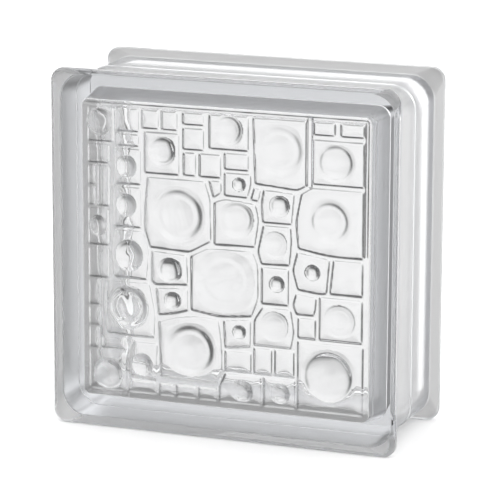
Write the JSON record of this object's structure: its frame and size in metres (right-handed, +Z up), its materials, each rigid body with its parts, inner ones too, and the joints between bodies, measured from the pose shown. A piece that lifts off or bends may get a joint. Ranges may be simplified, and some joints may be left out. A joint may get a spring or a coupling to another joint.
{
  "type": "glass block",
  "caption": "Square hollow pressed-glass block for walls and windows, with flanged panes, a mortar groove round the sides and a relief of cells and lenses inside the front pane.",
  "frame": {"origin": "middle of the base, on the surface the block stands on", "axes": "+Z up, +Y from the front (relief) pane to the back pane, +X to the right seen from the front"},
  "size_m": [0.19, 0.08, 0.19],
  "materials": {
    "clear_glass": "pressed and fire-polished, clear"
  },
  "bodies": {
    "root": {"glass_block": "clear_glass"}
  },
  "joints": []
}
